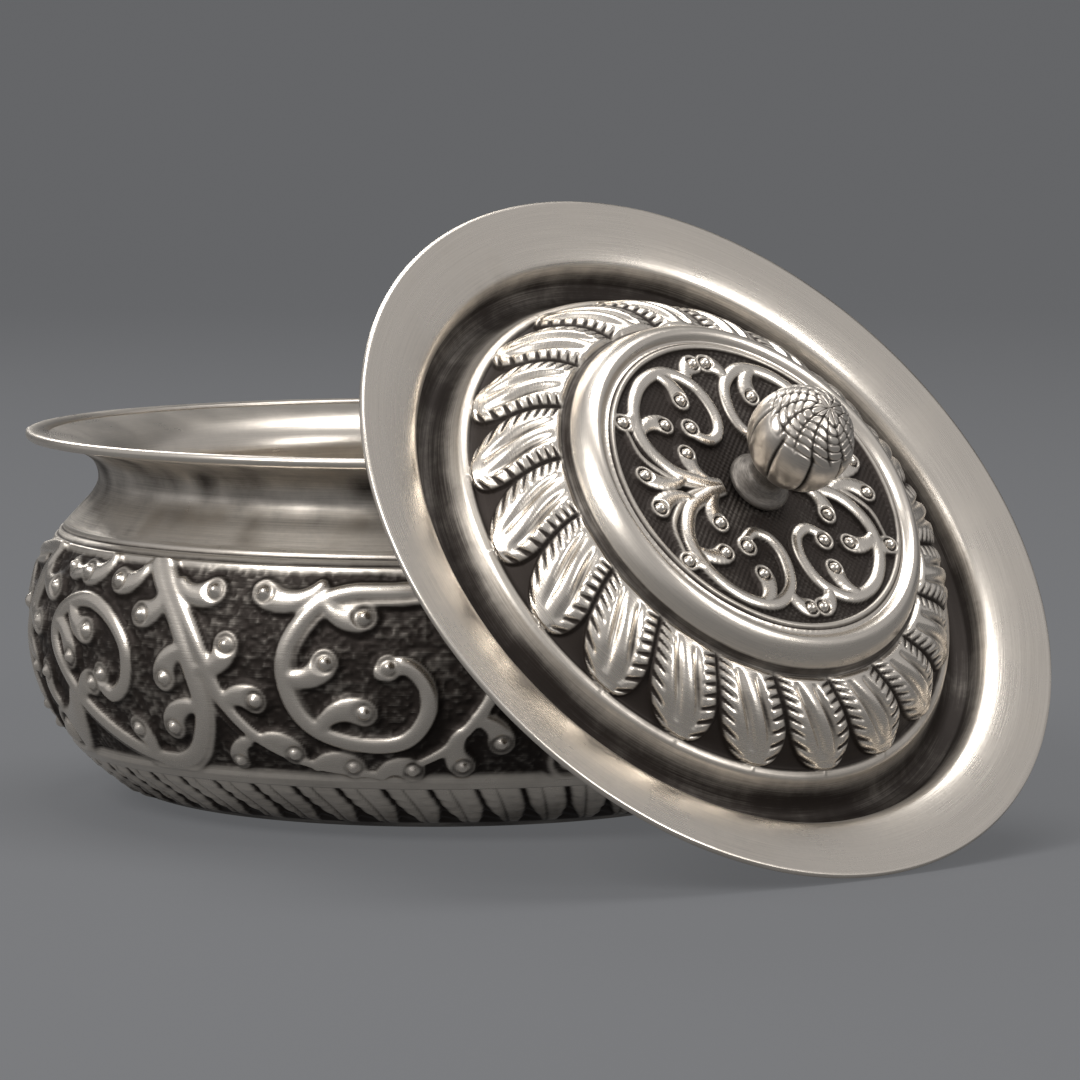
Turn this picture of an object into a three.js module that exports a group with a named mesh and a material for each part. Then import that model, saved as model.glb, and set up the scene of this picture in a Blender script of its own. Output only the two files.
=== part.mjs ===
// A round metal box: a squat bowl with a flared lip, and a lid that leans on it.
// Millimetres, +Z up, origin at the middle of the bowl's flat base.

import * as THREE from 'three';

// Bowl
const rimRadius = 75;
const rimHeight = 68;
const lipThickness = 1.8;
const bowlWall = 1.6;
const throatRadius = 61.9;
const throatHeight = 59.5;
const shoulderRadius = 68.6;
const shoulderHeight = 50;
const bellyRadius = 74.3;
const bellyHeight = 32;
const baseRadius = 42;
const grooveDepth = 0.5;
const grooveWidth = 0.9;

// Lid, in its own frame: its axis is Z, and the plane of its flange's edge is Z = 0
const lidSheet = 1.2;
const flangeRadius = 69.2;
const spigotClearance = 2.8;
const channelDepth = 8;
const channelWidth = 5.5;
const leafFootRadius = 47.1;
const leafTopRadius = 35.4;
const leafTopHeight = 8.5;
const beadWidth = 5.7;
const beadRise = 0.9;
const discHeight = 13.2;
const leafCount = 20;
const leafRelief = 1.3;
const leafSwirl = 0.16;

// Knob and what holds it
const knobRadius = 9;
const knobCentreHeight = 27.5;
const knobNeckRadius = 3.6;
const knobFootRadius = 5.6;
const knobFootThickness = 1.4;
const petalCount = 8;
const petalRelief = 0.5;
const studRadius = 1.5;
const studDepthInKnob = 7;
const washerRadius = 4.2;
const washerThickness = 0.8;
const nutAcrossFlats = 5.5;
const nutThickness = 2.2;
const studEndBeyondNut = 1;

// Fits
const touchGap = 0.3;
const studClearance = 0.4;

// How the lid leans: which way it faces, how far its axis tips up, and its slip to one side
const lidFacing = THREE.MathUtils.degToRad(39.6);
const lidAxisElevation = THREE.MathUtils.degToRad(37.7);
const lidSlip = 7.5;
const rimReachIntoLid = 18.3;

const bowlSegments = 48;
const lidSegmentsPerLeaf = 4;

const silver = new THREE.MeshStandardMaterial({ color: 0xb9aea0, roughness: 0.42, metalness: 1 });
const darkSilver = new THREE.MeshStandardMaterial({ color: 0x8b8175, roughness: 0.5, metalness: 1 });
const steel = new THREE.MeshStandardMaterial({ color: 0x7d7f82, roughness: 0.4, metalness: 1 });

const at = (r, z) => new THREE.Vector2(r, z);

// Evenly spaced points on a smooth curve through the given ones
function smooth(points, count) {
  return new THREE.SplineCurve(points).getSpacedPoints(count);
}

// The same outline moved sideways by a distance, to its left as it is walked
function offsetOutline(outline, distance) {
  return outline.map((point, index) => {
    const before = outline[Math.max(index - 1, 0)];
    const after = outline[Math.min(index + 1, outline.length - 1)];
    const along = after.clone().sub(before).normalize();
    return at(point.x - along.y * distance, point.y + along.x * distance);
  });
}

// A hidden inner skin takes every second point, and always the last
function everySecond(outline) {
  return outline.filter((point, index) => index % 2 === 0 || index === outline.length - 1);
}

// A closed body of revolution about Z. Its outline runs up the outside and back down the inside.
function revolve(outline, segments) {
  const geometry = new THREE.LatheGeometry(outline, segments);
  geometry.rotateX(Math.PI / 2);
  return geometry;
}

function named(name, geometry, material) {
  const mesh = new THREE.Mesh(geometry, material);
  mesh.name = name;
  return mesh;
}

// Bowl: flat base, round belly, a fine groove at the shoulder, a drawn-in neck and a wide lip
function bowlBody() {
  const belly = smooth([
    at(baseRadius, 0), at(baseRadius + 12, 1.9), at(bellyRadius - 14.2, bellyHeight * 0.18),
    at(bellyRadius - 7.5, bellyHeight * 0.37), at(bellyRadius - 2.4, bellyHeight * 0.64),
    at(bellyRadius, bellyHeight), at(bellyRadius - 1.6, bellyHeight + 11),
    at(shoulderRadius + 1, shoulderHeight - 1),
  ], 17);
  const neck = smooth([
    at(shoulderRadius - 0.6, shoulderHeight + grooveWidth), at(shoulderRadius - 3.4, shoulderHeight + 3.9),
    at(throatRadius + 0.9, throatHeight - 2.8), at(throatRadius, throatHeight),
    at(throatRadius + 1.3, throatHeight + 3.2), at(throatRadius + 5.6, rimHeight - lipThickness - 1.3),
    at(rimRadius, rimHeight - lipThickness),
  ], 12);
  const groove = at(shoulderRadius - grooveDepth, shoulderHeight - 0.1);
  const sheet = [...belly, ...neck];
  const inside = everySecond(offsetOutline(sheet, bowlWall).slice(1, -1));
  const outline = [
    at(0, 0), ...belly, groove, ...neck,
    at(rimRadius, rimHeight), at(throatRadius + 6, rimHeight - 1.1),
    ...inside.reverse(), at(0, bowlWall),
  ];
  return named('bowl_body', revolve(outline, bowlSegments), silver);
}

// The lid's visible skin from the knob hole out to the flange's edge
const spigotRadius = throatRadius - bowlWall - spigotClearance;
const channelOuterRadius = spigotRadius - lidSheet;
const discRadius = leafTopRadius - beadWidth;
const holeRadius = studRadius + studClearance;

function lidTop() {
  const disc = [at(holeRadius, discHeight), at(knobFootRadius + 4, discHeight + 0.1), at(discRadius, discHeight)];
  const bead = smooth([
    at(discRadius + 0.5, discHeight - 0.3), at(discRadius + 2, discHeight + beadRise),
    at(leafTopRadius - 1.4, discHeight - 1), at(leafTopRadius, leafTopHeight),
  ], 4);
  const leaves = smooth([
    at(leafTopRadius + 0.8, leafTopHeight - 0.2), at(leafTopRadius + 5, leafTopHeight - 1.6),
    at(leafFootRadius - 3, leafTopHeight - 4.6), at(leafFootRadius, -0.6),
  ], 6);
  const channel = smooth([
    at(leafFootRadius + 2.2, -2.2), at(channelOuterRadius - channelWidth + 0.6, -channelDepth + 1.6),
    at(channelOuterRadius - channelWidth / 2, -channelDepth), at(channelOuterRadius, -channelDepth + 1.4),
  ], 6);
  const flange = smooth([
    at(channelOuterRadius + 0.3, -4.2), at(channelOuterRadius + 2, -2.2),
    at(flangeRadius - 6, -0.8), at(flangeRadius, 0),
  ], 5);
  return [...disc, ...bead, ...leaves, ...channel, ...flange];
}

// Height of the raised leaves: round-backed lobes that sweep sideways as they run outwards
function leafHeight(radius, angle) {
  const along = (radius - leafTopRadius) / (leafFootRadius - leafTopRadius);
  if (along <= 0 || along >= 1) return 0;
  const lobe = Math.abs(Math.cos((angle - leafSwirl * along) * leafCount / 2));
  return leafRelief * Math.sin(Math.PI * along) ** 0.5 * (lobe - 0.5);
}

// Lid: one raised sheet of even thickness, with the ring of leaves pushed up from below
function lidShell() {
  const top = lidTop();
  const underside = everySecond(offsetOutline(top, -lidSheet));
  underside[0].x = holeRadius;
  const outline = [...underside, ...top.slice().reverse(), underside[0].clone()];
  const geometry = revolve(outline, leafCount * lidSegmentsPerLeaf);
  const place = geometry.attributes.position;
  for (let i = 0; i < place.count; i += 1) {
    const x = place.getX(i);
    const y = place.getY(i);
    const lift = leafHeight(Math.hypot(x, y), Math.atan2(y, x));
    place.setZ(i, place.getZ(i) + lift);
  }
  geometry.computeVertexNormals();
  return named('lid_shell', geometry, silver);
}

// Knob: a ball with soft petals round its sides, on a waisted neck and a small round foot
function knob() {
  const foot = discHeight + 0.1 + touchGap;
  const stub = foot + knobFootThickness;
  const neckAngle = Math.asin(knobNeckRadius / knobRadius);
  const ball = [];
  const steps = 11;
  for (let i = 0; i <= steps; i += 1) {
    const turn = neckAngle + (Math.PI - neckAngle) * (i / steps);
    ball.push(at(knobRadius * Math.sin(turn), knobCentreHeight - knobRadius * Math.cos(turn)));
  }
  ball[steps].x = 0;
  const bore = studRadius + touchGap;
  const outline = [
    at(0, foot + studDepthInKnob), at(bore, foot + studDepthInKnob), at(bore, foot),
    at(knobFootRadius, foot), at(knobFootRadius, stub), at(knobNeckRadius, stub + 1.2), ...ball,
  ];
  const geometry = revolve(outline, petalCount * 4);
  const place = geometry.attributes.position;
  for (let i = 0; i < place.count; i += 1) {
    const x = place.getX(i);
    const y = place.getY(i);
    const radius = Math.hypot(x, y);
    if (radius < knobNeckRadius + 1 || place.getZ(i) < knobCentreHeight - knobRadius) continue;
    const height = (place.getZ(i) - knobCentreHeight) / knobRadius;
    const petal = Math.abs(Math.cos(Math.atan2(y, x) * petalCount / 2)) - 0.5;
    const scale = 1 + petalRelief * petal * (1 - height * height) / radius;
    place.setXY(i, x * scale, y * scale);
  }
  geometry.computeVertexNormals();
  return named('knob', geometry, darkSilver);
}

// Under the disc: a washer and a nut on the stud that holds the knob
const undersideHeight = discHeight - lidSheet;
const washerTop = undersideHeight - touchGap;
const nutTop = washerTop - washerThickness - touchGap;
const studBottom = nutTop - nutThickness - studEndBeyondNut;

function knobStud() {
  const top = discHeight + 0.1 + touchGap + studDepthInKnob - touchGap;
  const outline = [at(0, studBottom), at(studRadius, studBottom), at(studRadius, top), at(0, top)];
  return named('knob_stud', revolve(outline, 16), steel);
}

function knobWasher() {
  const bore = studRadius + touchGap;
  const bottom = washerTop - washerThickness;
  const outline = [
    at(bore, bottom), at(washerRadius, bottom), at(washerRadius, washerTop), at(bore, washerTop), at(bore, bottom),
  ];
  return named('knob_washer', revolve(outline, 24), steel);
}

function knobNut() {
  const outline = new THREE.Shape();
  const corner = nutAcrossFlats / Math.sqrt(3);
  for (let i = 0; i < 6; i += 1) {
    const turn = i * Math.PI / 3;
    outline[i ? 'lineTo' : 'moveTo'](corner * Math.cos(turn), corner * Math.sin(turn));
  }
  outline.closePath();
  const bore = new THREE.Path();
  bore.absarc(0, 0, studRadius + touchGap, 0, Math.PI * 2, true);
  outline.holes.push(bore);
  const settings = { depth: nutThickness, bevelEnabled: false, curveSegments: 16 };
  const geometry = new THREE.ExtrudeGeometry(outline, settings);
  geometry.translate(0, 0, nutTop - nutThickness);
  return named('knob_nut', geometry, steel);
}

// The lid stands on its flange's lowest point, and its hollow underside rests on the bowl's lip
function leaningLid() {
  const lean = Math.PI / 2 - lidAxisElevation;
  const group = new THREE.Group();
  group.add(lidShell(), knob(), knobStud(), knobWasher(), knobNut());
  group.rotation.set(lean, 0, lidFacing, 'ZYX');
  const height = flangeRadius * Math.sin(lean) + lidSheet * Math.cos(lean) + touchGap;
  const forward = rimRadius + rimReachIntoLid * Math.cos(lean) * 0.985;
  const sideways = new THREE.Vector2(Math.cos(lidFacing), Math.sin(lidFacing)).multiplyScalar(-lidSlip);
  group.position.set(
    forward * Math.sin(lidFacing) + sideways.x,
    -forward * Math.cos(lidFacing) + sideways.y,
    height,
  );
  return group;
}

const roundBox = new THREE.Group();
roundBox.add(bowlBody(), leaningLid());

export default roundBox;
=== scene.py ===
import math
import bpy
import numpy as np
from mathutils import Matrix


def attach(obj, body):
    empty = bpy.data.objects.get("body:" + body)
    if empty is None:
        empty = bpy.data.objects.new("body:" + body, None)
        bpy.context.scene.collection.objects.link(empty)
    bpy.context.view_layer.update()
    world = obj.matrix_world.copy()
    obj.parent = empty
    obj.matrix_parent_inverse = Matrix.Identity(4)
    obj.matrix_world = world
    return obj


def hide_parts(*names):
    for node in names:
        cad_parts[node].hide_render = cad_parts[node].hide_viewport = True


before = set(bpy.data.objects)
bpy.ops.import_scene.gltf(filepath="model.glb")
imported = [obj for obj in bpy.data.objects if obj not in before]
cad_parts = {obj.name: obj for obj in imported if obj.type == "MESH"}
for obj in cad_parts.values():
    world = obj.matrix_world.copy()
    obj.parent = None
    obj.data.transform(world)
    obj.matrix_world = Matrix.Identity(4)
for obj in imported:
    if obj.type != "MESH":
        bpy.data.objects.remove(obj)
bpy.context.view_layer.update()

mm = 0.001  # every size below is in millimetres unless it says otherwise
rng = np.random.default_rng(7)


# Outlines, as rows of radius and height
def smooth(points, count):
    points = np.array(points, float)
    last = len(points) - 1
    fine = []
    for k in range(last):
        before, start = points[max(k - 1, 0)], points[k]
        end, after = points[k + 1], points[min(k + 2, last)]
        leaving, arriving = (end - before) / 2, (after - start) / 2
        cubed = 2 * start - 2 * end + leaving + arriving
        squared = -3 * start + 3 * end - 2 * leaving - arriving
        for t in np.linspace(0, 1, 40, endpoint=(k == last - 1)):
            fine.append(cubed * t ** 3 + squared * t ** 2 + leaving * t + start)
    fine = np.array(fine)
    run = lengthAlong(fine)
    spots = np.linspace(0, run[-1], count + 1)
    return np.stack([np.interp(spots, run, fine[:, 0]), np.interp(spots, run, fine[:, 1])], 1)


def lengthAlong(path):
    return np.concatenate([[0], np.cumsum(np.hypot(*np.diff(path, axis=0).T))])


def direction(path):
    along = np.gradient(path, axis=0)
    return along / np.maximum(np.hypot(along[:, 0], along[:, 1]), 1e-9)[:, None]


def sideways(path, distance):
    along = direction(path)
    return path + distance * np.stack([-along[:, 1], along[:, 0]], 1)


# Heights and masks over a sheet
def ramp(low, high, value):
    t = np.clip((value - low) / (high - low), 0, 1)
    return t * t * (3 - 2 * t)


def soften(field, times):
    for _ in range(times):
        field = (field + np.roll(field, 1, 1) + np.roll(field, -1, 1)) / 3
        padded = np.pad(field, ((1, 1), (0, 0)), mode="edge")
        field = (padded[:-2] + padded[1:-1] + padded[2:]) / 3
    return field


def stipple(shape, cell):
    rows, cols = shape
    small = rng.random((rows // cell + 3, cols // cell + 1))
    small[:, -1] = small[:, 0]
    i, j = np.arange(rows) / cell, np.arange(cols) / cell
    above, left = i.astype(int), j.astype(int)
    down, across = (i - above)[:, None], (j - left)[None, :]
    right = (left + 1) % small.shape[1]
    left = left % small.shape[1]
    upper = small[above][:, left] * (1 - across) + small[above][:, right] * across
    lower = small[above + 1][:, left] * (1 - across) + small[above + 1][:, right] * across
    return upper * (1 - down) + lower * down


# An outline turned round its axis, with a height over it. A closed outline joins its own start, and an open
# one has a pole on the axis at each end. Wear and shade is 1 on bright metal and 0 where it is dark, from
# patina in the recesses and from painted shade. Flow is the way round and the length along the outline,
# which the brushing follows
def revolve(name, outline, heights, wearAndShade, closed, lift=0.0, place=None):
    rows, cols = heights.shape
    turn = np.linspace(0, 2 * np.pi, cols, endpoint=False)
    along = direction(outline)
    radius = outline[:, 0:1] + heights * along[:, 1:2]
    height = outline[:, 1:2] - heights * along[:, 0:1] + lift
    verts = np.stack([radius * np.cos(turn), radius * np.sin(turn), height], 2).reshape(-1, 3)
    run = lengthAlong(outline)
    flow = np.stack(np.broadcast_arrays(np.cos(turn)[None, :], np.sin(turn)[None, :], run[:, None]), 2)
    flow, wearAndShade = flow.reshape(-1, 3), wearAndShade.reshape(-1)
    i = np.arange(rows if closed else rows - 1)[:, None]
    j = np.arange(cols)[None, :]
    after, beside = (i + 1) % rows, (j + 1) % cols
    corners = (i * cols + j, i * cols + beside, after * cols + beside, after * cols + j)
    quads = np.stack(np.broadcast_arrays(*corners), 2).reshape(-1, 4)
    loops, counts = quads.reshape(-1), np.full(len(quads), 4)
    if not closed:
        pole, lastRow = len(verts), (rows - 1) * cols
        verts = np.concatenate([verts, [[0, 0, height[0].mean()], [0, 0, height[-1].mean()]]])
        flow = np.concatenate([flow, [[0, 0, 0], [0, 0, run[-1]]]])
        wearAndShade = np.concatenate([wearAndShade, [wearAndShade[0], wearAndShade[-1]]])
        ring, nextRing = np.arange(cols), (np.arange(cols) + 1) % cols
        bottom = np.stack([np.full(cols, pole), nextRing, ring], 1)
        top = np.stack([np.full(cols, pole + 1), lastRow + ring, lastRow + nextRing], 1)
        loops = np.concatenate([loops, bottom.reshape(-1), top.reshape(-1)])
        counts = np.concatenate([counts, np.full(2 * cols, 3)])
    if place is not None:
        spin, centre = place
        verts = verts @ spin.T + centre
    return makePiece(name, verts, loops, counts, wearAndShade, flow)


def makePiece(name, verts, loops, counts, wearAndShade, flow):
    mesh = bpy.data.meshes.new(name)
    mesh.vertices.add(len(verts))
    mesh.vertices.foreach_set("co", (verts * mm).astype(np.float32).reshape(-1))
    mesh.loops.add(len(loops))
    mesh.loops.foreach_set("vertex_index", loops.astype(np.int32))
    mesh.polygons.add(len(counts))
    starts = np.concatenate([[0], np.cumsum(counts)[:-1]])
    mesh.polygons.foreach_set("loop_start", starts.astype(np.int32))
    mesh.update(calc_edges=True)
    mesh.validate()
    mesh.shade_smooth()
    wearAndShadeData = mesh.attributes.new("wearAndShade", "FLOAT", "POINT").data
    wearAndShadeData.foreach_set("value", wearAndShade.astype(np.float32))
    flowData = mesh.attributes.new("flow", "FLOAT_VECTOR", "POINT").data
    flowData.foreach_set("vector", flow.astype(np.float32).reshape(-1))
    piece = bpy.data.objects.new(name, mesh)
    bpy.context.scene.collection.objects.link(piece)
    return piece


# Ornament is drawn on a flat sheet of x and y, as heights from 0 on the ground to about 1 on a crest.
# A period joins the sheet's left and right edges
def wrapped(distance, period):
    if period is None:
        return distance
    return (distance + period / 2) % period - period / 2


def layStem(x, y, path, wide, narrow, period=None):
    reach = 6  # further from a stem than this, the sheet stays as it is
    height = np.zeros_like(x)
    path = np.array(path)
    steps = len(path) - 1
    for k in range(steps):
        (ax, ay), (bx, by) = path[k], path[k + 1]
        width = wide + (narrow - wide) * k / steps
        px, py = wrapped(x - ax, period), y - ay
        dx, dy = bx - ax, by - ay
        near = (np.abs(px) < reach) & (np.abs(py) < reach)
        if not near.any():
            continue
        qx, qy = px[near], py[near]
        t = np.clip((qx * dx + qy * dy) / (dx * dx + dy * dy + 1e-9), 0, 1)
        away = np.hypot(qx - t * dx, qy - t * dy)
        rise = np.sqrt(np.clip(1 - (away / width) ** 2, 0, 1)) * min(1, 0.45 + width / 2.4)
        height[near] = np.maximum(height[near], rise)
    return height


# A leaf is a bent stalk that widens to a round head with a punched ring and a pupil, in shares of its size.
# The fill values are for the leaves that grow into bare ground
leaf = {
    "steps": 8, "stalk": 0.95, "neck": 1.95, "stalkHeight": 0.97, "head": 1.75, "headHeight": 1.05,
    "eye": 1.5, "ring": 0.92, "ringWidth": 0.2, "ringDepth": 0.6, "pupil": 0.45, "pupilHeight": 0.3,
    "fillBend": 1.3, "fillReach": 1.12,
}


def layLeaf(field, x, y, root, heading, length, bend, size, period=None):
    turned = (heading + bend * np.linspace(0, 1, leaf["steps"] + 1))[1:]
    strides = length / leaf["steps"] * np.stack([np.cos(turned), np.sin(turned)], 1)
    path = np.array(root) + np.concatenate([[[0, 0]], np.cumsum(strides, 0)])
    stalk = layStem(x, y, path, leaf["stalk"] * size, leaf["neck"] * size, period)
    field = np.maximum(field, leaf["stalkHeight"] * stalk)
    px, py = wrapped(x - path[-1, 0], period), y - path[-1, 1]
    away = np.hypot(px, py) / size
    pupil = leaf["pupilHeight"] * np.exp(-(away / leaf["pupil"]) ** 2)
    ring = leaf["ringDepth"] * np.exp(-((away - leaf["ring"]) / leaf["ringWidth"]) ** 2)
    head = np.sqrt(np.clip(1 - (away / leaf["head"]) ** 2, 0, 1))
    field = np.maximum(field, leaf["headHeight"] * head)
    return np.where(away < leaf["eye"], field - ring + pupil, field)


# More leaves, each where the ground is emptiest, growing from the nearest stem
def fillLeaves(field, x, y, allowed, clear, most, share, period=None):
    coarse = (slice(None, None, 4), slice(None, None, 4))
    coarseX, coarseY = x[coarse], y[coarse]
    spots = np.stack([coarseX, coarseY], 2)[allowed[coarse]]
    for turn in range(most):
        up = field[coarse] > 0.2
        raised = np.stack([coarseX[up], coarseY[up]], 1)
        gapX = np.abs(spots[:, None, 0] - raised[None, :, 0])
        if period:
            gapX = np.minimum(gapX, period - gapX)
        gaps = np.hypot(gapX, spots[:, None, 1] - raised[None, :, 1])
        nearest = gaps.min(1)
        k = int(nearest.argmax())
        room = nearest[k]
        if room < clear:
            break
        root = raised[gaps[k].argmin()]
        heading = math.atan2(spots[k, 1] - root[1], wrapped(spots[k, 0] - root[0], period))
        bend = leaf["fillBend"] if turn % 2 else -leaf["fillBend"]
        length = room * leaf["fillReach"]
        field = layLeaf(field, x, y, root, heading - bend / 2, length, bend, room / share, period)
    return field


# Bowl, of the solid model's sizes. Wear and shade values go from 0, dark, to 1, bright, and hold both
# patina and painted shade
bowl = {
    "segments": 1200, "bellyRows": 216, "neckRows": 56, "innerEvery": 4,
    "wall": 1.6, "rimRadius": 75.0, "rimHeight": 68.0, "lipThickness": 1.8, "throatRadius": 61.9,
    "throatHeight": 59.5, "shoulderRadius": 68.6, "shoulderHeight": 50.0, "bellyRadius": 74.3,
    "bellyHeight": 32.0, "baseRadius": 42.0, "flatRings": (2.0, 20.0, 36.0),
    "fieldBottom": 11.6, "fieldTop": 48.6, "repeats": 4, "unrolledRadius": 72.5, "stemWidth": 1.9,
    "stemHeight": 1.4, "groundDepth": 0.4, "grainDepth": 0.36, "fieldEdgeRows": 5,
    "bandBottom": 10.0, "bandHeight": 0.55, "tonguesBottom": 2.6, "tongues": 50, "tongueLean": 0.55,
    "tongueHeight": 0.9, "veinDepth": 0.4, "tongueGround": 0.3, "grooveDepth": 0.28,
    "grooves": ((-0.9, 0.16), (0.3, 0.22)),  # each one's height over the shoulder, and half its width
    # The foot's value is painted shade on the underside
    "wornPlain": 0.78, "wornFieldEdge": 0.75, "wornGroove": 0.12, "footShade": 0.25, "neckToneAndShade": 0.62,
    "neckBottom": 51.5, "neckTop": 66.0, "neckCrease": 62.5, "creaseWidth": 2.6,
    # The inside's values are painted shade, darkest low in the bowl
    "insideShade": 0.5, "shadeDeepestBelow": 40, "shadeEndsAbove": 66,  # the inside brightens between these heights
}

# One repeat of the vine, drawn on the unrolled belly: x runs round the bowl, y up from the plain
# band. Widths at a stem's root and tip are shares of stemWidth, and a thinner stem runs beside it
vine = {
    "drawnHeight": 42.0, "topMargin": 1.2, "fineness": 90, "besideFrom": 6, "besideTo": 60,
    "besideHeight": 0.82, "besideWide": 0.62, "besideNarrow": 0.25, "leafSize": 1.6,
    "turnOver": 21, "leafBend": 1.5, "leafReach": 1.1, "fillMargin": 3.2, "fillClear": 4.1, "fillMost": 14,
    "fillShare": 3.6,
    "stems": {
        "wideScroll": {
            "wide": 0.9, "narrow": 1.0, "beside": 2.3, "path": [
                (24, 42.5), (16, 41.5), (5, 40.2), (-5, 39), (-14, 38.5), (-20.2, 35.2), (-24.9, 27),
                (-24.5, 18.2), (-20.2, 11.5), (-11.9, 8.4), (-4.4, 9.3), (-0.4, 15), (-0.6, 21), (-4, 24.6),
                (-8, 23.4)]},
        "longScroll": {
            "wide": 1.1, "narrow": 0.9, "beside": 2.3, "path": [
                (-53.6, 42), (-47, 32), (-43.4, 22.6), (-41.8, 13.8), (-45, 5.6), (-51, 2.2), (-60.2, 4.1),
                (-69.8, 10), (-77.2, 16.7), (-82, 24), (-80.6, 30), (-72, 33.6), (-64.3, 31.5),
                (-58.8, 25.6), (-59.3, 18.6), (-63.8, 15.4), (-67, 18.6)]},
        "fallLeft": {
            "wide": 1.05, "narrow": 0.5, "beside": -2.3, "path": [
                (-51.5, 42.5), (-44.6, 32.2), (-40.6, 24.8), (-36.9, 16), (-30.5, 8.6), (-20.7, 3.2),
                (-9, 1.2)]},
        "fallRight": {
            "wide": 1.05, "narrow": 0.5, "beside": 2.3, "path": [
                (24, 42.5), (17.4, 32.2), (13.2, 24.8), (9.2, 16), (2.6, 7.4), (-6, 2.2)]},
    },
    "curled": ("wideScroll", "longScroll"),  # these end in an eye
    "curlHeading": -0.5, "curlLength": 1.6, "curlBend": 2.0, "curlSize": 1.45,
    # Each leaf's root and the tip it reaches for
    "leaves": [
        (-46.7, 38.9, -39.4, 37), (-18.9, 39.6, -29.2, 36.8), (-41, 22.6, -35.6, 27), (-37, 16, -31, 17.6),
        (-30.6, 8.8, -24.6, 6.6), (-18, 36.5, -11.4, 33), (-24.5, 22, -17.6, 24.2), (-19, 12.2, -11.6, 16),
        (-21, 3.2, -14.2, 3.9), (-9, 1.6, -3.4, 3.2), (5.5, 11, 5.2, 3.6), (-50, 37, -54.6, 31.6),
        (-44.5, 26, -49.8, 20.8), (-43.5, 15, -49.4, 10.8), (-57, 3, -57.8, 9), (-74, 13.6, -69.6, 17.8),
        (-81, 28, -75.6, 22.4), (-76, 32.2, -70.4, 27), (-56, 41, -62, 37.6), (-66, 42, -72.4, 38.4),
        (16, 30, 21.6, 26.4), (12, 22, 17, 18), (8, 14, 13, 9.4), (22, 38, 29, 34)],
}


def bellyField(rows, cols, runLength):
    v, w = vine, bowl["stemWidth"]
    period = 2 * np.pi * bowl["unrolledRadius"] / bowl["repeats"]
    up, along = np.linspace(0, runLength, rows), np.linspace(0, period, cols, endpoint=False)
    y, x = np.meshgrid(up, along, indexing="ij")
    stretch = (runLength - v["topMargin"]) / v["drawnHeight"]
    field = np.zeros_like(x)
    for stem in v["stems"].values():
        path = smooth(stem["path"], v["fineness"]) * (1, stretch)
        field = np.maximum(field, layStem(x, y, path, w * stem["wide"], w * stem["narrow"], period))
        inner = sideways(path[v["besideFrom"]:v["besideTo"]], stem["beside"])
        beside = layStem(x, y, inner, w * v["besideWide"], w * v["besideNarrow"], period)
        field = np.maximum(field, v["besideHeight"] * beside)
    for name in v["curled"]:
        endX, endY = smooth(v["stems"][name]["path"], v["fineness"])[-1]
        field = layLeaf(field, x, y, (endX, endY * stretch), v["curlHeading"], v["curlLength"],
                        v["curlBend"], v["curlSize"], period)
    for rootX, rootY, tipX, tipY in v["leaves"]:
        rootY, tipY = rootY * stretch, tipY * stretch
        bend = v["leafBend"] if (tipX - rootX) * (tipY - v["turnOver"]) > 0 else -v["leafBend"]
        heading = math.atan2(tipY - rootY, tipX - rootX) - bend / 2
        length = math.hypot(tipX - rootX, tipY - rootY) * v["leafReach"]
        field = layLeaf(field, x, y, (rootX, rootY), heading, length, bend, v["leafSize"], period)
    inside = (y > v["fillMargin"]) & (y < runLength - v["fillMargin"])
    return fillLeaves(field, x, y, inside, v["fillClear"], v["fillMost"], v["fillShare"], period)


def bowlOutline():
    b = bowl
    underLip = b["rimHeight"] - b["lipThickness"]
    belly = smooth([
        (b["baseRadius"], 0),
        (b["baseRadius"] + 12, 1.9),
        (b["bellyRadius"] - 14.2, b["bellyHeight"] * 0.18),
        (b["bellyRadius"] - 7.5, b["bellyHeight"] * 0.37),
        (b["bellyRadius"] - 2.4, b["bellyHeight"] * 0.64),
        (b["bellyRadius"], b["bellyHeight"]),
        (b["bellyRadius"] - 1.6, b["bellyHeight"] + 11),
        (b["shoulderRadius"] + 1, b["shoulderHeight"] - 1)], b["bellyRows"])
    neck = smooth([
        (b["shoulderRadius"] + 0.4, b["shoulderHeight"] - 0.2),
        (b["shoulderRadius"] - 3.4, b["shoulderHeight"] + 3.9),
        (b["throatRadius"] + 0.9, b["throatHeight"] - 2.8),
        (b["throatRadius"], b["throatHeight"]),
        (b["throatRadius"] + 1.3, b["throatHeight"] + 3.2),
        (b["throatRadius"] + 5.6, underLip - 1.3),
        (b["rimRadius"] - 0.5, underLip)], b["neckRows"])
    lip = [(b["rimRadius"], b["rimHeight"] - 1.4), (b["rimRadius"] + 0.1, b["rimHeight"] - 0.9),
           (b["rimRadius"], b["rimHeight"] - 0.3), (b["rimRadius"] - 0.6, b["rimHeight"]),
           (b["throatRadius"] + 9, b["rimHeight"] - 0.7)]
    base = [(radius, 0.0) for radius in b["flatRings"]]
    outside = np.concatenate([base, belly, neck])
    wallInside = sideways(np.concatenate([belly, neck]), b["wall"])[2:-3:b["innerEvery"]][::-1]
    floor = [(radius, b["wall"]) for radius in b["flatRings"][::-1]]
    inside = np.concatenate([wallInside, floor])
    return np.concatenate([outside, lip, inside]), len(outside), len(inside)


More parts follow.
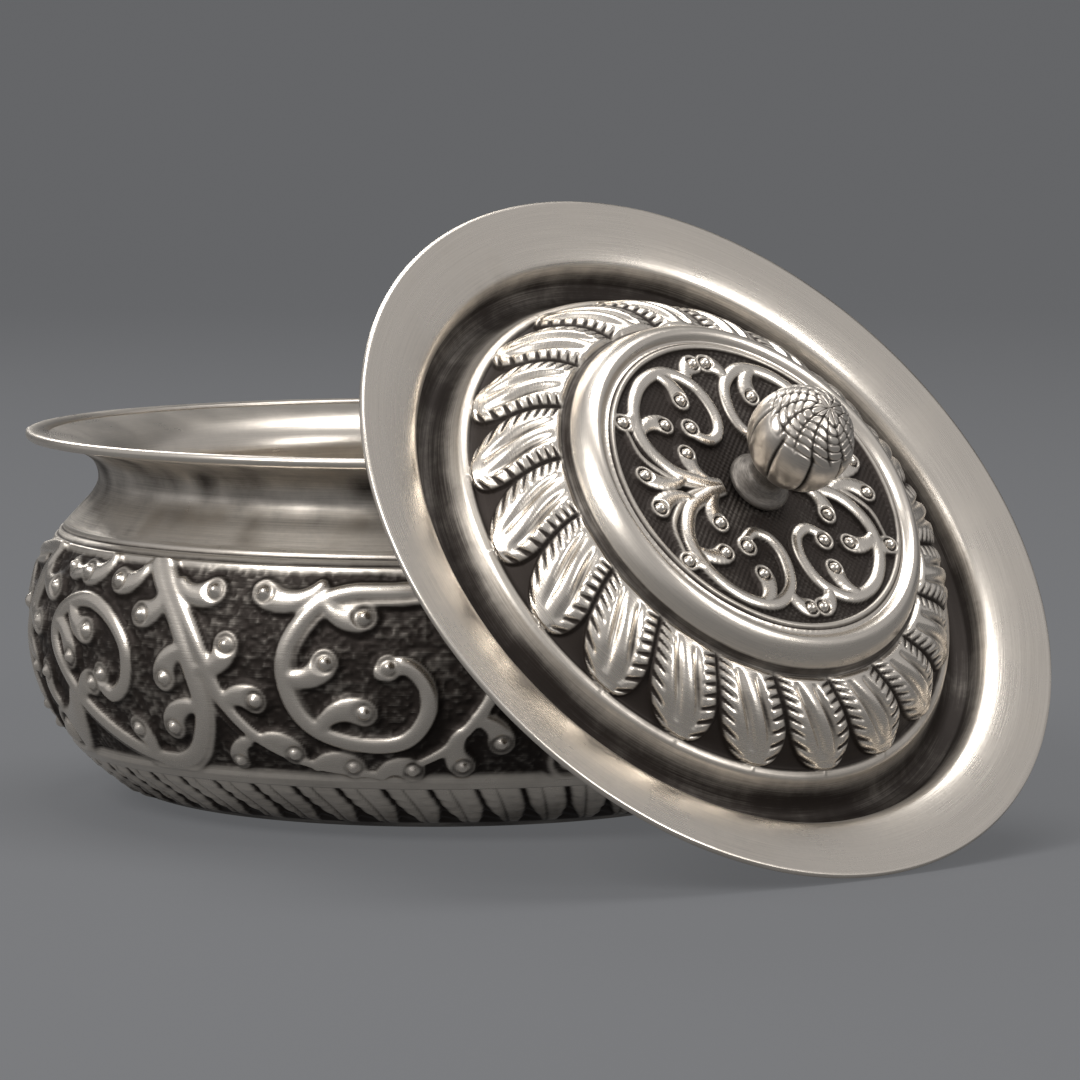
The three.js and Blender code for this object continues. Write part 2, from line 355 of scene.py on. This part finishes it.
# The vine on its stippled ground
def chaseField(outline, field, heights, wearAndShade):
    b = bowl
    run = np.hypot(*np.diff(outline[field], axis=0).T).sum()
    oneRepeat = bellyField(len(field), b["segments"] // b["repeats"], run)
    ornament = soften(np.tile(oneRepeat, (1, b["repeats"])), 1)
    grain = stipple(ornament.shape, 2) + 0.6 * stipple(ornament.shape, 4) - 0.8
    ground = 1 - ramp(0.1, 0.45, ornament)
    row = np.arange(len(field))
    edge = ramp(0, b["fieldEdgeRows"], np.minimum(row, row[::-1]))[:, None]
    raised = b["stemHeight"] * ornament - b["groundDepth"] * edge
    heights[field] = raised + b["grainDepth"] * grain * ground * edge
    rubbed = np.clip(ramp(0.35, 0.95, ornament) + 0.08 + 0.3 * grain * ground, 0, 1)
    wearAndShade[field] = rubbed * edge + b["wornFieldEdge"] * (1 - edge)


# Leaning tongues round the foot, each with a vein and nicked sides
def chaseTongues(z, tongueRows, heights, wearAndShade):
    b = bowl
    turn = np.arange(b["segments"]) / b["segments"]
    for k in tongueRows:
        t = (z[k] - b["tonguesBottom"]) / (b["bandBottom"] - b["tonguesBottom"])
        s = (turn * b["tongues"] + b["tongueLean"] * t) % 1 * 2 - 1
        width = 0.98 * math.sqrt(max(0.2, min(1, 1.9 * t + 0.1)))
        dome = np.sqrt(np.clip(1 - (s / width) ** 2, 0, 1))
        vein = np.exp(-((s + 0.15) / 0.13) ** 2)
        nicks = 0.14 * np.sin(t * 30 + s * 3) * (np.abs(s) > 0.35)
        fade = min(1, 8 * t) * min(1, 8 * (1 - t))
        shape = b["tongueHeight"] * dome ** 0.6 - b["veinDepth"] * vein + nicks - b["tongueGround"]
        heights[k] = fade * shape
        # Painted shade: the tongues are darker towards the bottom of the bowl
        wearAndShade[k] = np.clip(ramp(0.15, 0.75, dome - 0.5 * vein), 0, 1) * 0.85 * (0.35 + 0.65 * t)


def makeBowl():
    b = bowl
    outline, outsideRows, insideRows = bowlOutline()
    rows, cols = len(outline), b["segments"]
    row, z = np.arange(rows), outline[:, 1]
    heights, wearAndShade = np.zeros((rows, cols)), np.full((rows, cols), b["wornPlain"])
    outer, inner = row < outsideRows, row >= rows - insideRows
    fieldRows = np.where(outer & (z >= b["fieldBottom"]) & (z <= b["fieldTop"]))[0]
    chaseField(outline, fieldRows, heights, wearAndShade)
    tongueRows = np.where(outer & (z > b["tonguesBottom"]) & (z < b["bandBottom"]))[0]
    chaseTongues(z, tongueRows, heights, wearAndShade)
    heights[outer & (z >= b["bandBottom"]) & (z < b["fieldBottom"])] = b["bandHeight"]
    for above, halfWidth in b["grooves"]:
        groove = outer & (np.abs(z - b["shoulderHeight"] - above) < halfWidth)
        heights[groove], wearAndShade[groove] = -b["grooveDepth"], b["wornGroove"]
    # The foot below the tongues is painted dark, as shade on the underside
    wearAndShade[outer & (z <= b["tonguesBottom"])] = b["footShade"]
    neck = outer & (z > b["neckBottom"]) & (z < b["neckTop"])
    patch = soften(stipple((int(neck.sum()), cols), 12), 3)
    crease = 0.22 * np.exp(-((z[neck] - b["neckCrease"]) / b["creaseWidth"]) ** 2)[:, None]
    wearAndShade[neck] = b["neckToneAndShade"] + 0.5 * (patch - 0.5) - crease
    # Painted shade inside the bowl, darkest low down and lightening towards the rim
    wearAndShade[inner] = (b["insideShade"] + 0.3 * ramp(b["shadeDeepestBelow"], b["shadeEndsAbove"], z[inner]))[:, None]
    piece = revolve("bowl_chased", outline, heights, wearAndShade, closed=False)
    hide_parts("bowl_body")
    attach(piece, "bowl")
    print("bowl made", rows * cols)
    return piece


# Lid, of the solid model's sizes. Its own upright frame has the flange's edge at height 0
lid = {
    "segments": 1080, "discRows": 112, "beadRows": 20, "leafRows": 72, "channelRows": 20, "flangeRows": 26,
    "underEvery": 4, "sheet": 1.2, "hole": 1.9, "flangeRadius": 69.2, "clearance": 2.8, "channelDepth": 8.0,
    "channelWidth": 5.5, "leafFoot": 47.1, "leafFootRing": 1.2, "leafTop": 35.4, "leafTopHeight": 8.5,
    "beadWidth": 5.7, "beadRise": 0.9, "discHeight": 13.2, "leaves": 20, "leafRelief": 1.3, "swirl": 0.16,
    "scrollHeight": 1.2, "hatchDepth": 0.22, "discGround": 0.3,
    "leafHeight": 1.45, "fluteDepth": 1.0, "strokeDepth": 0.34, "leafGround": 0.6,
    "flutes": ((-0.22, 0.25), (0.38, 0.22)),  # each one's middle across the leaf, and how far it bows
    # The channel's value is painted shade, and so is the underside's
    "wornPlain": 0.82, "shadedChannel": 0.72, "wornCrease": 0.2, "wornFlange": 0.86, "undersideShade": 0.5,
    # How it leans: the way it faces, its axis above level, how far it slid sideways, and how far the lip
    # reaches in. The share brings it a little closer to the lip, and the gap keeps it off the floor
    "facing": 39.6, "axisElevation": 37.7, "slip": 7.5, "rimReach": 18.3, "rimShare": 0.985, "gap": 0.3,
}
lid["discRadius"] = lid["leafTop"] - lid["beadWidth"]
lid["channelWall"] = bowl["throatRadius"] - bowl["wall"] - lid["clearance"] - lid["sheet"]

# One of four scrolls on the disc, drawn here: the others are mirrored or turned half round
discScroll = {
    "stem": [
        (-8.2, -0.3), (-12, -1.4), (-17.1, -4), (-20.2, -9.7), (-19.3, -16.1), (-14.8, -21.6),
        (-8.6, -23.6), (-3.6, -20.6), (-1.9, -15.2), (-3, -11), (-6, -9.4), (-8.8, -11)],
    "echo": [(-10, -0.2), (-16.4, -1.4), (-22, -6.4), (-22.8, -12)],
    "leaves": [
        (-10.4, -1.6, -12.6, -6.8), (-19.6, -12, -14.2, -13.4), (-11, -23.2, -7.6, -18),
        (-15.6, -2.2, -23.4, -2.6), (-20, -15.4, -22.6, -13.8), (-4.2, -22, -1.7, -25.2)],
    "width": 1.5, "leafSize": 1.22, "leafBend": 1.4, "leafReach": 1.1, "echoHeight": 0.85,
    "curlLength": 1.2, "curlBend": 1.6, "curlShare": 1.05,
    "clearFrom": 6.4, "clearTo": 8.2,  # the plain ring round the knob's foot
    "fillFrom": 9.5, "fillTo": 26.5, "fillClear": 3.1, "fillMost": 20, "fillShare": 3.3,
    "ring": 28.6, "ringWidth": 0.7, "ringHeight": 0.7, "hatchPitch": 5.2,
}


# Where the leaning lid and its knob stand: a turn, then a move
def lidPlace():
    lean = math.pi / 2 - math.radians(lid["axisElevation"])
    facing = math.radians(lid["facing"])
    tip = np.array([[1, 0, 0],
                    [0, math.cos(lean), -math.sin(lean)],
                    [0, math.sin(lean), math.cos(lean)]])
    spin = np.array([[math.cos(facing), -math.sin(facing), 0],
                     [math.sin(facing), math.cos(facing), 0],
                     [0, 0, 1]])
    height = lid["flangeRadius"] * math.sin(lean) + lid["sheet"] * math.cos(lean) + lid["gap"]
    forward = bowl["rimRadius"] + lid["rimReach"] * math.cos(lean) * lid["rimShare"]
    centre = np.array([forward * math.sin(facing) - lid["slip"] * math.cos(facing),
                       -forward * math.cos(facing) - lid["slip"] * math.sin(facing), height])
    return spin @ tip, centre


def discField(radius, angle):
    d = discScroll
    x, y = radius * np.cos(angle), radius * np.sin(angle)
    field = np.zeros_like(x)
    for flip in ((1, 1), (1, -1), (-1, 1), (-1, -1)):
        flipX, flipY = flip
        sense = flipX * flipY
        stem = smooth(d["stem"], 60) * flip
        field = np.maximum(field, layStem(x, y, stem, d["width"] * 1.1, d["width"] * 0.85))
        echo = smooth(d["echo"], 24) * flip
        thin = layStem(x, y, echo, d["width"] * 0.7, d["width"] * 0.45)
        field = np.maximum(field, d["echoHeight"] * thin)
        inward, curl = math.atan2(-flipY, -flipX), d["leafSize"] * d["curlShare"]
        field = layLeaf(field, x, y, stem[-1], inward, d["curlLength"], sense * d["curlBend"], curl)
        for rootX, rootY, tipX, tipY in d["leaves"]:
            bend = sense * d["leafBend"]
            length = math.hypot(tipX - rootX, tipY - rootY) * d["leafReach"]
            heading = math.atan2((tipY - rootY) * flipY, (tipX - rootX) * flipX) - bend / 2
            root = (rootX * flipX, rootY * flipY)
            field = layLeaf(field, x, y, root, heading, length, bend, d["leafSize"])
    inside = (radius > d["fillFrom"]) & (radius < d["fillTo"])
    field = fillLeaves(field, x, y, inside, d["fillClear"], d["fillMost"], d["fillShare"])
    away = np.abs(radius - d["ring"])
    field = np.maximum(field, np.sqrt(np.clip(1 - (away / d["ringWidth"]) ** 2, 0, 1)) * d["ringHeight"])
    hatch = 0.5 + 0.25 * (np.sin((x + y) * d["hatchPitch"]) + np.sin((x - y) * d["hatchPitch"]))
    return field, hatch


# Swept leaves round the disc, each with two flutes and short strokes along its sides
def leafBand(radius, angle):
    c = lid
    along = (radius - c["leafTop"]) / (c["leafFoot"] + c["leafFootRing"] - c["leafTop"])
    inBand = (along > 0) & (along < 1)
    across = ((angle - c["swirl"] * along ** 1.3) * c["leaves"] / (2 * np.pi)) % 1 * 2 - 1
    roundTip = np.sqrt(np.clip(1 - np.clip((along - 0.62) / 0.36, 0, 1) ** 2, 0.0005, 1))
    s = across / (0.985 * roundTip)
    dome = np.sqrt(np.clip(1 - s ** 2, 0, 1))
    reach = np.sin(np.pi * np.clip((along - 0.12) / 0.74, 0, 1)) ** 0.6
    flutes = np.zeros_like(along)
    for middle, bow in c["flutes"]:
        curve = middle + bow * (along - 0.5) * 1.6
        flutes = np.maximum(flutes, np.exp(-((s - curve) / 0.12) ** 2) * reach)
    sides = ramp(0.48, 0.62, np.abs(s)) * ramp(0.97, 0.84, np.abs(s))
    strokes = np.clip(np.sin(along * 58 + np.abs(s) * 9), 0, 1) * sides
    height = c["leafHeight"] * dome ** 0.7 - c["fluteDepth"] * flutes
    height = height - c["strokeDepth"] * strokes - c["leafGround"]
    fade = ramp(0, 0.1, along) * ramp(1.0, 0.96, along)
    wearAndShade = ramp(0.15, 0.75, dome - 0.6 * flutes - 0.5 * strokes)
    return np.where(inBand, height * fade, 0), np.where(inBand, wearAndShade * fade + 0.55 * (1 - fade), 1)


def lidOutline():
    c = lid
    disc, wall, foot = c["discRadius"], c["channelWall"], c["leafFoot"] + c["leafFootRing"]
    spots = np.linspace(c["hole"], disc - 0.2, c["discRows"])
    flat = np.stack([spots, np.full(c["discRows"], c["discHeight"])], 1)
    bead = smooth([
        (disc + 0.2, c["discHeight"] - 0.5),
        (disc + 2, c["discHeight"] + c["beadRise"]),
        (c["leafTop"] - 1.4, c["discHeight"] - 1),
        (c["leafTop"], c["leafTopHeight"])], c["beadRows"])
    leaves = smooth([
        (c["leafTop"] + 0.3, c["leafTopHeight"] - 0.1),
        (c["leafTop"] + 5, c["leafTopHeight"] - 1.6),
        (c["leafFoot"] - 3, c["leafTopHeight"] - 4.6),
        (c["leafFoot"], -0.6),
        (foot, -1.6)], c["leafRows"])
    channel = smooth([
        (foot + 1, -2.2),
        (wall - c["channelWidth"] + 0.6, -c["channelDepth"] + 1.6),
        (wall - c["channelWidth"] / 2, -c["channelDepth"]),
        (wall, -c["channelDepth"] + 1.4)], c["channelRows"])
    flange = smooth([
        (wall + 0.3, -4.2),
        (wall + 2, -2.2),
        (c["flangeRadius"] - 6, -0.8),
        (c["flangeRadius"], 0)], c["flangeRows"])
    top = np.concatenate([flat, bead, leaves, channel, flange])
    under = sideways(top, -c["sheet"])[::c["underEvery"]]
    under[:, 0] = np.maximum(under[:, 0], c["hole"])
    lipRadius = c["flangeRadius"] + 0.15
    edge = [(lipRadius, -1.0), (c["flangeRadius"] + 0.3, -0.6), (lipRadius, -0.2)]
    return np.concatenate([under, edge, top[::-1]]), len(under), len(under) + len(edge)


def makeLid():
    c, d = lid, discScroll
    outline, underRows, topStart = lidOutline()
    rows, cols = len(outline), c["segments"]
    turn = np.linspace(0, 2 * np.pi, cols, endpoint=False)
    radius, angle = np.broadcast_arrays(outline[:, 0:1], turn[None, :])
    ring = outline[:, 0]
    isTop = np.arange(rows) >= topStart
    heights, wearAndShade = np.zeros((rows, cols)), np.full((rows, cols), c["wornPlain"])

    # The leaves show through on the underside
    along = np.clip((radius - c["leafTop"]) / (c["leafFoot"] - c["leafTop"]), 0, 1)
    lobe = np.abs(np.cos((angle - c["swirl"] * along) * c["leaves"] / 2))
    lift = 0.45 * c["leafRelief"] * np.sqrt(np.sin(np.pi * along)) * (lobe - 0.5)
    lift[isTop] = 0

    disc = isTop & (ring < c["discRadius"] - 0.2)
    field, hatch = discField(radius[disc], angle[disc])
    clear = ramp(d["clearFrom"], d["clearTo"], radius[disc])
    ground = 1 - ramp(0.1, 0.4, field)
    scrolls = c["scrollHeight"] * field * clear
    heights[disc] = scrolls + c["hatchDepth"] * (hatch - 0.5) * ground - c["discGround"]
    wearAndShade[disc] = np.clip(ramp(0.35, 0.9, field) * clear + 0.12 * hatch * ground, 0, 1)

    band = isTop & (ring >= c["leafTop"]) & (ring <= c["leafFoot"] + c["leafFootRing"])
    heights[band], wearAndShade[band] = leafBand(radius[band], angle[band])

    channel = isTop & (ring > c["leafFoot"] + 2) & (ring < c["channelWall"] + 1.4)
    # Painted shade: the channel darkens the deeper it goes
    wearAndShade[channel] = (c["shadedChannel"] - 0.6 * ramp(-1.5, -6.5, outline[channel, 1]))[:, None]
    wearAndShade[isTop & (np.abs(ring - c["leafTop"]) < 0.5)] = c["wornCrease"]
    patch = soften(stipple((rows, cols), 14), 3)
    flange = isTop & (ring >= c["channelWall"] + 1.4)
    wearAndShade[flange] = c["wornFlange"] + 0.3 * (patch[flange] - 0.5)
    # The underside is painted darker as shade, with random tarnish patches
    wearAndShade[:underRows] = c["undersideShade"] + 0.3 * (patch[:underRows] - 0.5)
    piece = revolve("lid_chased", outline, heights, wearAndShade, closed=True, lift=lift, place=lidPlace())
    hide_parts("lid_shell")
    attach(piece, "lid")
    print("lid made", rows * cols)
    return piece


# Knob: petals round its sides and punched arcs over its top, with painted shade on its neck and under its
# ball
knob = {
    "segments": 280, "rings": 150, "neckRows": 16, "radius": 9.0, "centre": 27.5, "neck": 3.6, "foot": 5.6,
    "footThickness": 1.4, "seat": 0.1, "bore": 1.8, "boreDepth": 7.0,
    "petals": 8, "petalRelief": 0.55, "cutDepth": 0.3, "punchDepth": 0.42,
    # The neck's value is painted shadow under the ball
    "neckToneAndShade": 0.3, "wornBall": 0.78,
}


def makeKnob():
    k = knob
    foot = lid["discHeight"] + k["seat"] + lid["gap"]
    stub = foot + k["footThickness"]
    top = foot + k["boreDepth"]
    start = math.asin(k["neck"] / k["radius"])
    turns = np.linspace(start, math.pi - 0.03, k["rings"])
    ball = np.stack([k["radius"] * np.sin(turns), k["centre"] - k["radius"] * np.cos(turns)], 1)
    neck = smooth([(k["foot"], foot + 0.1), (k["foot"] - 0.1, stub - 0.3), (k["neck"] - 0.4, stub + 1.4),
                   (k["neck"], ball[0, 1] - 0.2)], k["neckRows"])
    bore = [(0.2, top), (k["bore"], top), (k["bore"], foot), (k["foot"] - 0.2, foot)]
    outline = np.concatenate([bore, neck, ball])
    rows, cols = len(outline), k["segments"]
    angle = np.linspace(0, 2 * np.pi, cols, endpoint=False)[None, :]
    # The knob's neck and foot are painted dark, as the shadow under the ball
    heights, wearAndShade = np.zeros((rows, cols)), np.full((rows, cols), k["neckToneAndShade"])
    level = -np.cos(turns)[:, None]  # -1 at the ball's lowest point, 1 at its top
    petal = np.abs(np.cos(angle * k["petals"] / 2 + level))
    side = ramp(-0.95, -0.5, level) * ramp(0.62, 0.3, level)
    crown = ramp(0.3, 0.5, level)
    cut = np.exp(-(petal / 0.16) ** 2)
    arcs = np.abs(np.sin(angle * 7 + 5 * level)) * np.abs(np.sin(level ** 2 * 21 + np.cos(angle * 4)))
    punched = np.exp(-(arcs / 0.2) ** 2)
    petals = k["petalRelief"] * (np.sqrt(petal) - 0.6) * side - k["cutDepth"] * cut * side
    heights[-k["rings"]:] = petals - k["punchDepth"] * punched * crown
    rubbed = np.clip(k["wornBall"] - 0.72 * cut * side - 0.68 * punched * crown, 0.03, 1)
    # Painted shade: the ball darkens towards its lowest point
    wearAndShade[-k["rings"]:] = rubbed * ramp(-1, -0.7, level)
    piece = revolve("knob_carved", outline, heights, wearAndShade, closed=False, place=lidPlace())
    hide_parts("knob")
    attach(piece, "lid")
    print("knob made", rows * cols)
    return piece


# Shader maths: a socket that can be added, subtracted and multiplied
class Socket:
    def __init__(self, shader, end):
        self.shader, self.end = shader, end

    def maths(self, operation, first, second):
        return self.shader.node("ShaderNodeMath", {"operation": operation}, {0: first, 1: second})

    def __add__(self, other):
        return self.maths("ADD", self, other)

    def __sub__(self, other):
        return self.maths("SUBTRACT", self, other)

    def __rsub__(self, other):
        return self.maths("SUBTRACT", other, self)

    def __mul__(self, other):
        return self.maths("MULTIPLY", self, other)

    __radd__ = __add__
    __rmul__ = __mul__


class Shader:
    def __init__(self, name):
        self.material = bpy.data.materials.new(name)
        self.material.use_nodes = True
        self.tree = self.material.node_tree
        self.principled = self.tree.nodes["Principled BSDF"]

    def feed(self, target, value):
        if isinstance(value, Socket):
            self.tree.links.new(value.end, target)
        else:
            target.default_value = value

    def node(self, kind, settings, values, output=0):
        made = self.tree.nodes.new(kind)
        for key, value in settings.items():
            setattr(made, key, value)
        for key, value in values.items():
            self.feed(made.inputs[key], value)
        return Socket(self, made.outputs[output])


# Aged silver-coloured metal: dark in the recesses, brushed round and rubbed bright on what stands up, and
# darker where painted shade is carried in its wear and shade attribute
patina = {
    "cloudScale": 60.0, "fineScale": 900.0, "brushScale": 1.6, "brushStretch": (2.5, 2.5, 3.2),
    "clouds": 0.75, "streaks": 0.34, "darkBelow": 0.05, "brightAbove": 0.95, "roughStreaks": 0.16,
    "leastMetallic": 0.65, "bump": 0.12, "bumpDepth": 0.0003,  # the depth is in metres
}
metals = {
    "aged_silver": {"bright": (0.82, 0.745, 0.65, 1), "dark": (0.026, 0.019, 0.015, 1),
                    "roughBright": 0.27, "roughDark": 0.62, "chased": True},
    "knob_silver": {"bright": (0.66, 0.6, 0.53, 1), "dark": (0.025, 0.019, 0.015, 1),
                    "roughBright": 0.3, "roughDark": 0.6, "chased": True},
    "plain_fixing": {"bright": (0.6, 0.55, 0.48, 1), "dark": (0.06, 0.05, 0.04, 1),
                     "roughBright": 0.35, "roughDark": 0.6, "chased": False},
}


def agedMetal(name):
    m, p = metals[name], patina
    shader = Shader(name)
    principled = shader.principled.inputs
    spot = shader.node("ShaderNodeTexCoord", {}, {}, "Object")
    cloud = shader.node("ShaderNodeTexNoise", {},
                        {"Vector": spot, "Scale": p["cloudScale"], "Detail": 6.0, "Roughness": 0.65})
    fine = shader.node("ShaderNodeTexNoise", {}, {"Vector": spot, "Scale": p["fineScale"], "Detail": 3.0})
    if m["chased"]:
        wearAndShade = shader.node("ShaderNodeAttribute", {"attribute_name": "wearAndShade"}, {}, "Fac")
        flow = shader.node("ShaderNodeAttribute", {"attribute_name": "flow"}, {}, "Vector")
        brushed = shader.node("ShaderNodeVectorMath", {"operation": "MULTIPLY"},
                              {0: flow, 1: p["brushStretch"]})
        streak = shader.node("ShaderNodeTexNoise", {},
                             {"Vector": brushed, "Scale": p["brushScale"], "Detail": 5.0})
    else:
        wearAndShade = cloud * 0.2 + 0.55
        streak = fine
    tone = wearAndShade + (cloud - 0.5) * p["clouds"] + (streak - 0.5) * p["streaks"]
    mask = shader.node("ShaderNodeMapRange", {"interpolation_type": "SMOOTHSTEP"},
                       {"Value": tone, "From Min": p["darkBelow"], "From Max": p["brightAbove"]})
    colour = shader.node("ShaderNodeMix", {"data_type": "RGBA"}, {0: mask, 6: m["dark"], 7: m["bright"]}, 2)
    rough = m["roughDark"] - mask * (m["roughDark"] - m["roughBright"]) + (streak - 0.5) * p["roughStreaks"]
    metallic = mask * (1 - p["leastMetallic"]) + p["leastMetallic"]
    height = streak * 0.6 + fine * 0.4
    bump = shader.node("ShaderNodeBump", {},
                       {"Strength": p["bump"], "Distance": p["bumpDepth"], "Height": height})
    shader.feed(principled["Base Color"], colour)
    shader.feed(principled["Roughness"], rough)
    shader.feed(principled["Metallic"], metallic)
    shader.feed(principled["Normal"], bump)
    return shader.material


# Floor and backdrop in one sweep, in metres. Part of its grey is lit, so that it takes the object's shadow,
# and part is shown straight to the camera and to reflections
stage = {
    "halfWidth": 4.0, "front": -4.0, "bendStart": 1.6, "bendRadius": 1.2, "bendSteps": 12, "top": 4.0,
    "litGrey": (0.17, 0.172, 0.178, 1), "shownGrey": (0.153, 0.156, 0.162, 1), "shownShare": 0.68,
    "roughness": 0.9, "specular": 0.1,
}


def stageGrey():
    shader = Shader("stage_grey")
    principled = shader.principled
    shader.feed(principled.inputs["Base Color"], stage["litGrey"])
    shader.feed(principled.inputs["Roughness"], stage["roughness"])
    shader.feed(principled.inputs["Specular IOR Level"], stage["specular"])
    shown = shader.node("ShaderNodeEmission", {}, {"Color": stage["shownGrey"]})
    camera = shader.node("ShaderNodeLightPath", {}, {}, "Is Camera Ray")
    glossy = shader.node("ShaderNodeLightPath", {}, {}, "Is Glossy Ray")
    through = shader.node("ShaderNodeLightPath", {}, {}, "Is Transmission Ray")
    share = (camera + glossy + through) * stage["shownShare"]
    lit = Socket(shader, principled.outputs[0])
    mixed = shader.node("ShaderNodeMixShader", {}, {0: share, 1: lit, 2: shown})
    shader.feed(shader.tree.nodes["Material Output"].inputs["Surface"], mixed)
    return shader.material


def makeStage():
    s = stage
    sweep = [(s["front"], 0.0), (s["bendStart"], 0.0)]
    for k in range(1, s["bendSteps"] + 1):
        turn = k / s["bendSteps"] * math.pi / 2
        away = s["bendRadius"] * math.sin(turn)
        up = s["bendRadius"] - s["bendRadius"] * math.cos(turn)
        sweep.append((s["bendStart"] + away, up))
    sweep.append((s["bendStart"] + s["bendRadius"], s["top"]))
    verts = [(x, y, z) for y, z in sweep for x in (-s["halfWidth"], s["halfWidth"])]
    faces = [(2 * k, 2 * k + 1, 2 * k + 3, 2 * k + 2) for k in range(len(sweep) - 1)]
    mesh = bpy.data.meshes.new("backdrop")
    mesh.from_pydata(verts, [], faces)
    mesh.shade_smooth()
    backdrop = bpy.data.objects.new("backdrop", mesh)
    bpy.context.scene.collection.objects.link(backdrop)
    backdrop.data.materials.append(stageGrey())
    print("stage made")


# Camera and soft lamps, in metres, degrees and watts
studio = {
    "cameraAt": (0.0189, -1.100, 0.151), "pitchDown": 5.40, "lens": 200.7, "sensor": 36, "clipEnd": 50,
    "worldColour": (0.95, 0.96, 1.0, 1), "worldStrength": 0.42,
    "lamps": {
        "key": {"at": (-0.7, -0.75, 0.85), "aim": (0.02, -0.03, 0.04), "size": 0.55, "power": 11.5},
        "fill": {"at": (0.9, -0.8, 0.5), "aim": (0.04, -0.05, 0.05), "size": 0.6, "power": 5.0},
        "rear": {"at": (-0.5, 1.0, 0.8), "aim": (0.02, -0.03, 0.04), "size": 0.6, "power": 5.0},
        "over": {"at": (0.1, 0.15, 1.2), "aim": (0.02, -0.03, 0.04), "size": 0.8, "power": 9.0},
    },
}


def softLamp(name, lamp):
    data = bpy.data.lights.new(name, "AREA")
    data.shape, data.size, data.energy = "DISK", lamp["size"], lamp["power"]
    made = bpy.data.objects.new(name, data)
    made.location = lamp["at"]
    aim = np.array(lamp["aim"]) - np.array(lamp["at"])
    down = math.atan2(math.hypot(aim[0], aim[1]), -aim[2])
    made.rotation_euler = (down, 0, math.atan2(aim[1], aim[0]) - math.pi / 2)
    bpy.context.scene.collection.objects.link(made)


def makeStudio():
    scene = bpy.context.scene
    camera = bpy.data.objects.new("camera", bpy.data.cameras.new("camera"))
    camera.location = studio["cameraAt"]
    camera.rotation_euler = (math.radians(90 - studio["pitchDown"]), 0, 0)
    camera.data.lens, camera.data.sensor_width = studio["lens"], studio["sensor"]
    camera.data.clip_end = studio["clipEnd"]
    scene.collection.objects.link(camera)
    scene.camera = camera
    for name, lamp in studio["lamps"].items():
        softLamp(name, lamp)
    world = bpy.data.worlds.new("studio")
    world.use_nodes = True
    background = world.node_tree.nodes["Background"].inputs
    background["Color"].default_value = studio["worldColour"]
    background["Strength"].default_value = studio["worldStrength"]
    scene.world = world
    scene.view_settings.view_transform = "Standard"
    print("studio made")


makeStudio()
makeStage()
silver = agedMetal("aged_silver")
makeBowl().data.materials.append(silver)
makeLid().data.materials.append(silver)
makeKnob().data.materials.append(agedMetal("knob_silver"))
fixing = agedMetal("plain_fixing")
for name in ("knob_stud", "knob_washer", "knob_nut"):
    part = bpy.data.objects[name]
    part.data.materials.clear()
    part.data.materials.append(fixing)
print("metals made")
